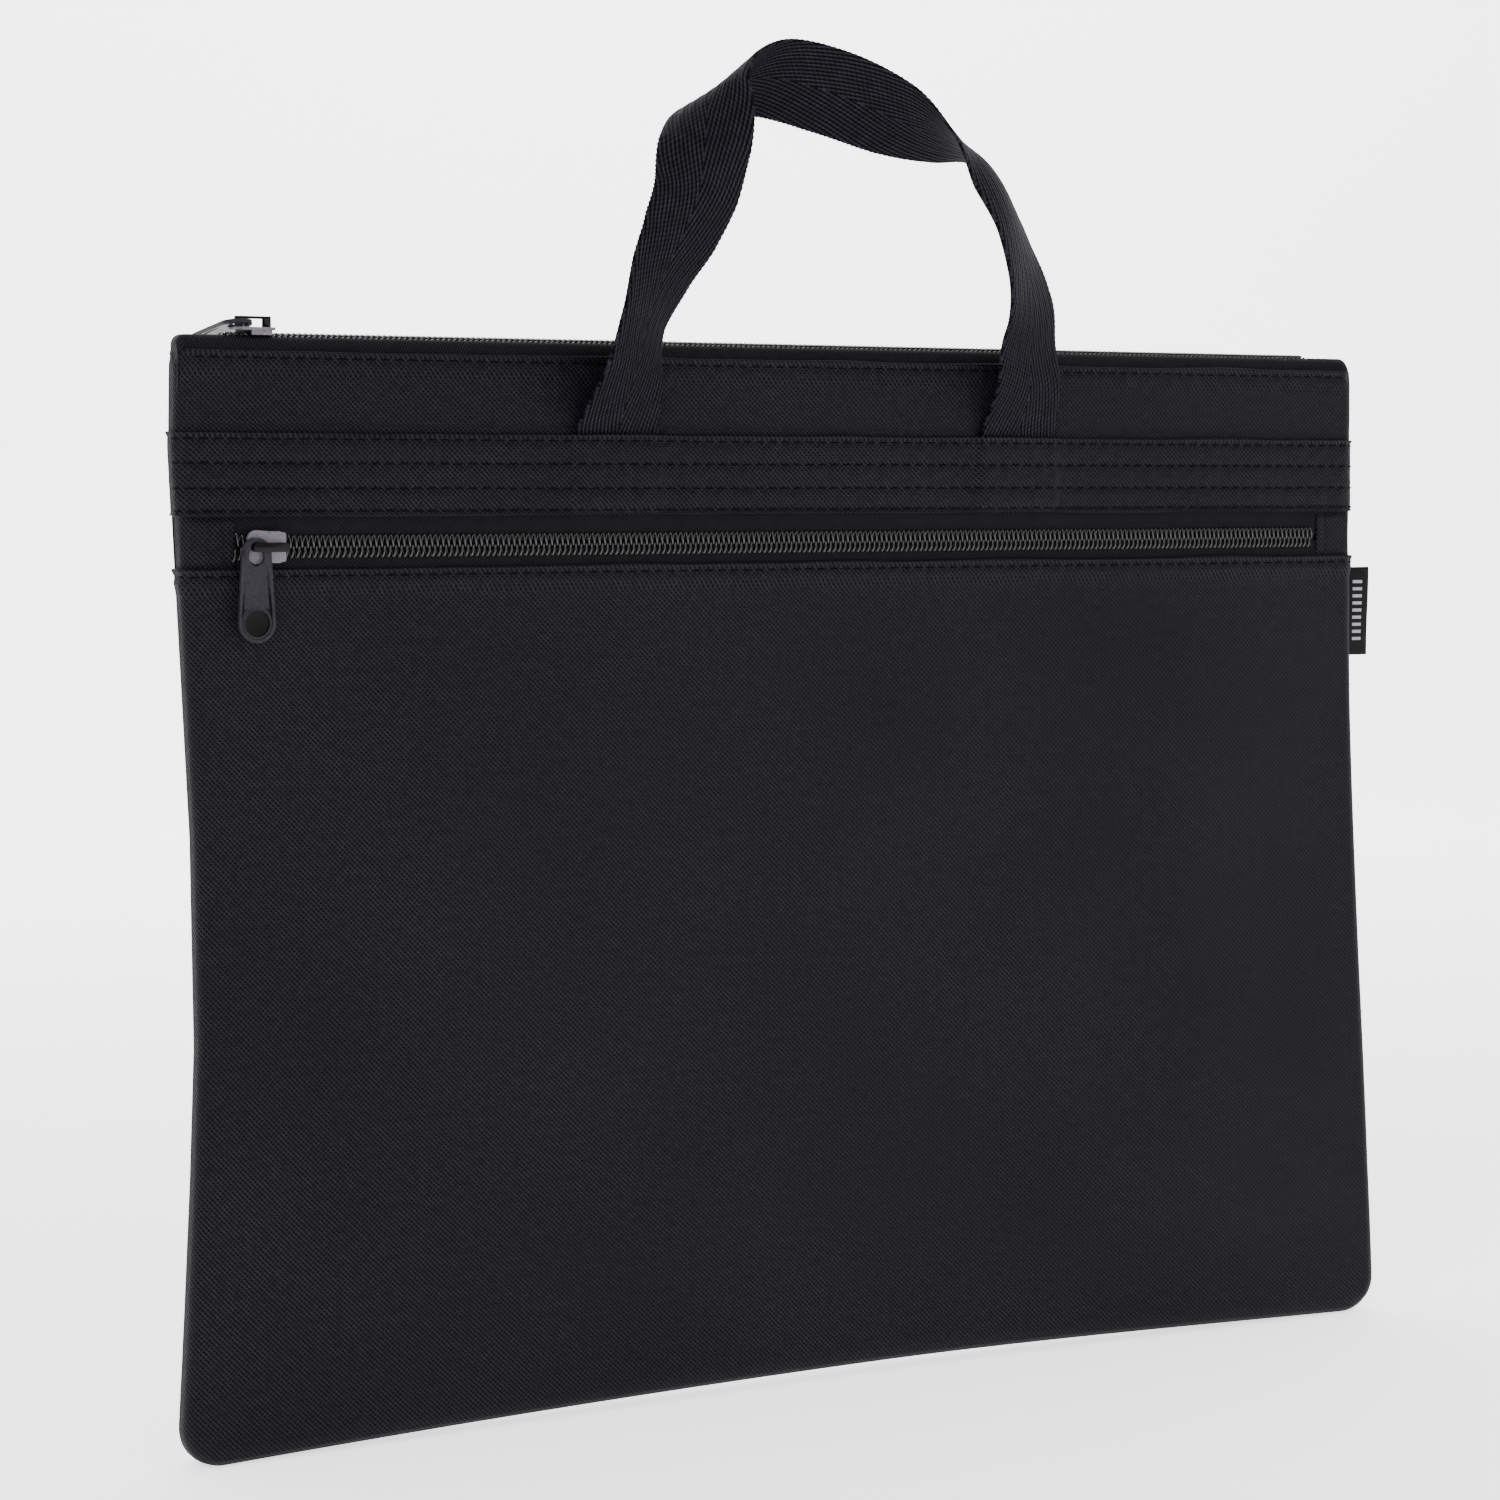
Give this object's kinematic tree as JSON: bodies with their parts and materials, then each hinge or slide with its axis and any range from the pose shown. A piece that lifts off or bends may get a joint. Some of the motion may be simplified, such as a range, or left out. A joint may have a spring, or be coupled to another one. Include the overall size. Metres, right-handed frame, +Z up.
{
  "type": "portfolio case",
  "caption": "Soft black fabric portfolio case with a zip along the top, a zipped front pocket and a webbing carry handle sewn under a band.",
  "frame": {"origin": "middle of the base, on the surface the case stands on", "axes": "+X to the right along the zips, +Y to the back, +Z up; the handle and the pocket are on the -Y side"},
  "size_m": [0.3903, 0.0589, 0.3786],
  "materials": {
    "case_fabric": "woven polyester, coated inside, matt",
    "lining": "plain lining and binding",
    "zip_tape": "twill zip tape",
    "zip_coil": "nylon coil, satin",
    "webbing": "ribbed polyester webbing",
    "grey_paint": "speckled satin paint on a casting",
    "black_paint": "gloss black",
    "label": "woven satin",
    "thread": "polyester sewing thread"
  },
  "bodies": {
    "case": {"front_panel": "case_fabric", "back_panel": "case_fabric", "pocket_panel": "case_fabric", "pocket_divider": "lining", "binding_left": "lining", "binding_right": "lining", "binding_bottom": "lining", "handle_band": "case_fabric", "handle_tail_left": "webbing", "handle_tail_right": "webbing", "main_tape_front": "zip_tape", "main_tape_back": "zip_tape", "main_coil_front": "zip_coil", "main_coil_back": "zip_coil", "main_end_tab_left": "case_fabric", "main_end_tab_right": "case_fabric", "pocket_tape_upper": "zip_tape", "pocket_tape_lower": "zip_tape", "pocket_coil_upper": "zip_coil", "pocket_coil_lower": "zip_coil", "pocket_end_tab_left": "case_fabric", "pocket_end_tab_right": "case_fabric", "side_label": "label", "hem_stitches": "thread", "band_stitches": "thread", "pocket_stitches": "thread"},
    "main_slider": {"main_slider_body": "grey_paint", "main_slider_crown": "black_paint"},
    "main_pull": {"main_puller": "grey_paint"},
    "pocket_slider": {"pocket_slider_body": "grey_paint", "pocket_slider_crown": "black_paint"},
    "pocket_pull": {"pocket_puller": "grey_paint"},
    "handle": {"handle_loop": "webbing"}
  },
  "joints": [
    {"name": "main_slider_travel", "type": "slide", "parent": "case", "child": "main_slider", "axis": [1, 0, 0], "range_m": [0, 0.33]},
    {"name": "main_pull_swing", "type": "hinge", "parent": "main_slider", "child": "main_pull", "pos_m": [-0.1693, 0, 0.2972], "axis": [0, 0.1392, 0.9903], "range_deg": [-38, 90]},
    {"name": "pocket_slider_travel", "type": "slide", "parent": "case", "child": "pocket_slider", "axis": [1, 0, 0], "range_m": [0, 0.33]},
    {"name": "pocket_pull_swing", "type": "hinge", "parent": "pocket_slider", "child": "pocket_pull", "pos_m": [-0.1693, -0.0103, 0.2395], "axis": [0, 1, 0], "range_deg": [-38, 90]},
    {"name": "handle_fold", "type": "hinge", "parent": "case", "child": "handle", "pos_m": [0, -0.0093, 0.269], "axis": [1, 0, 0], "range_deg": [-5, 130]}
  ]
}
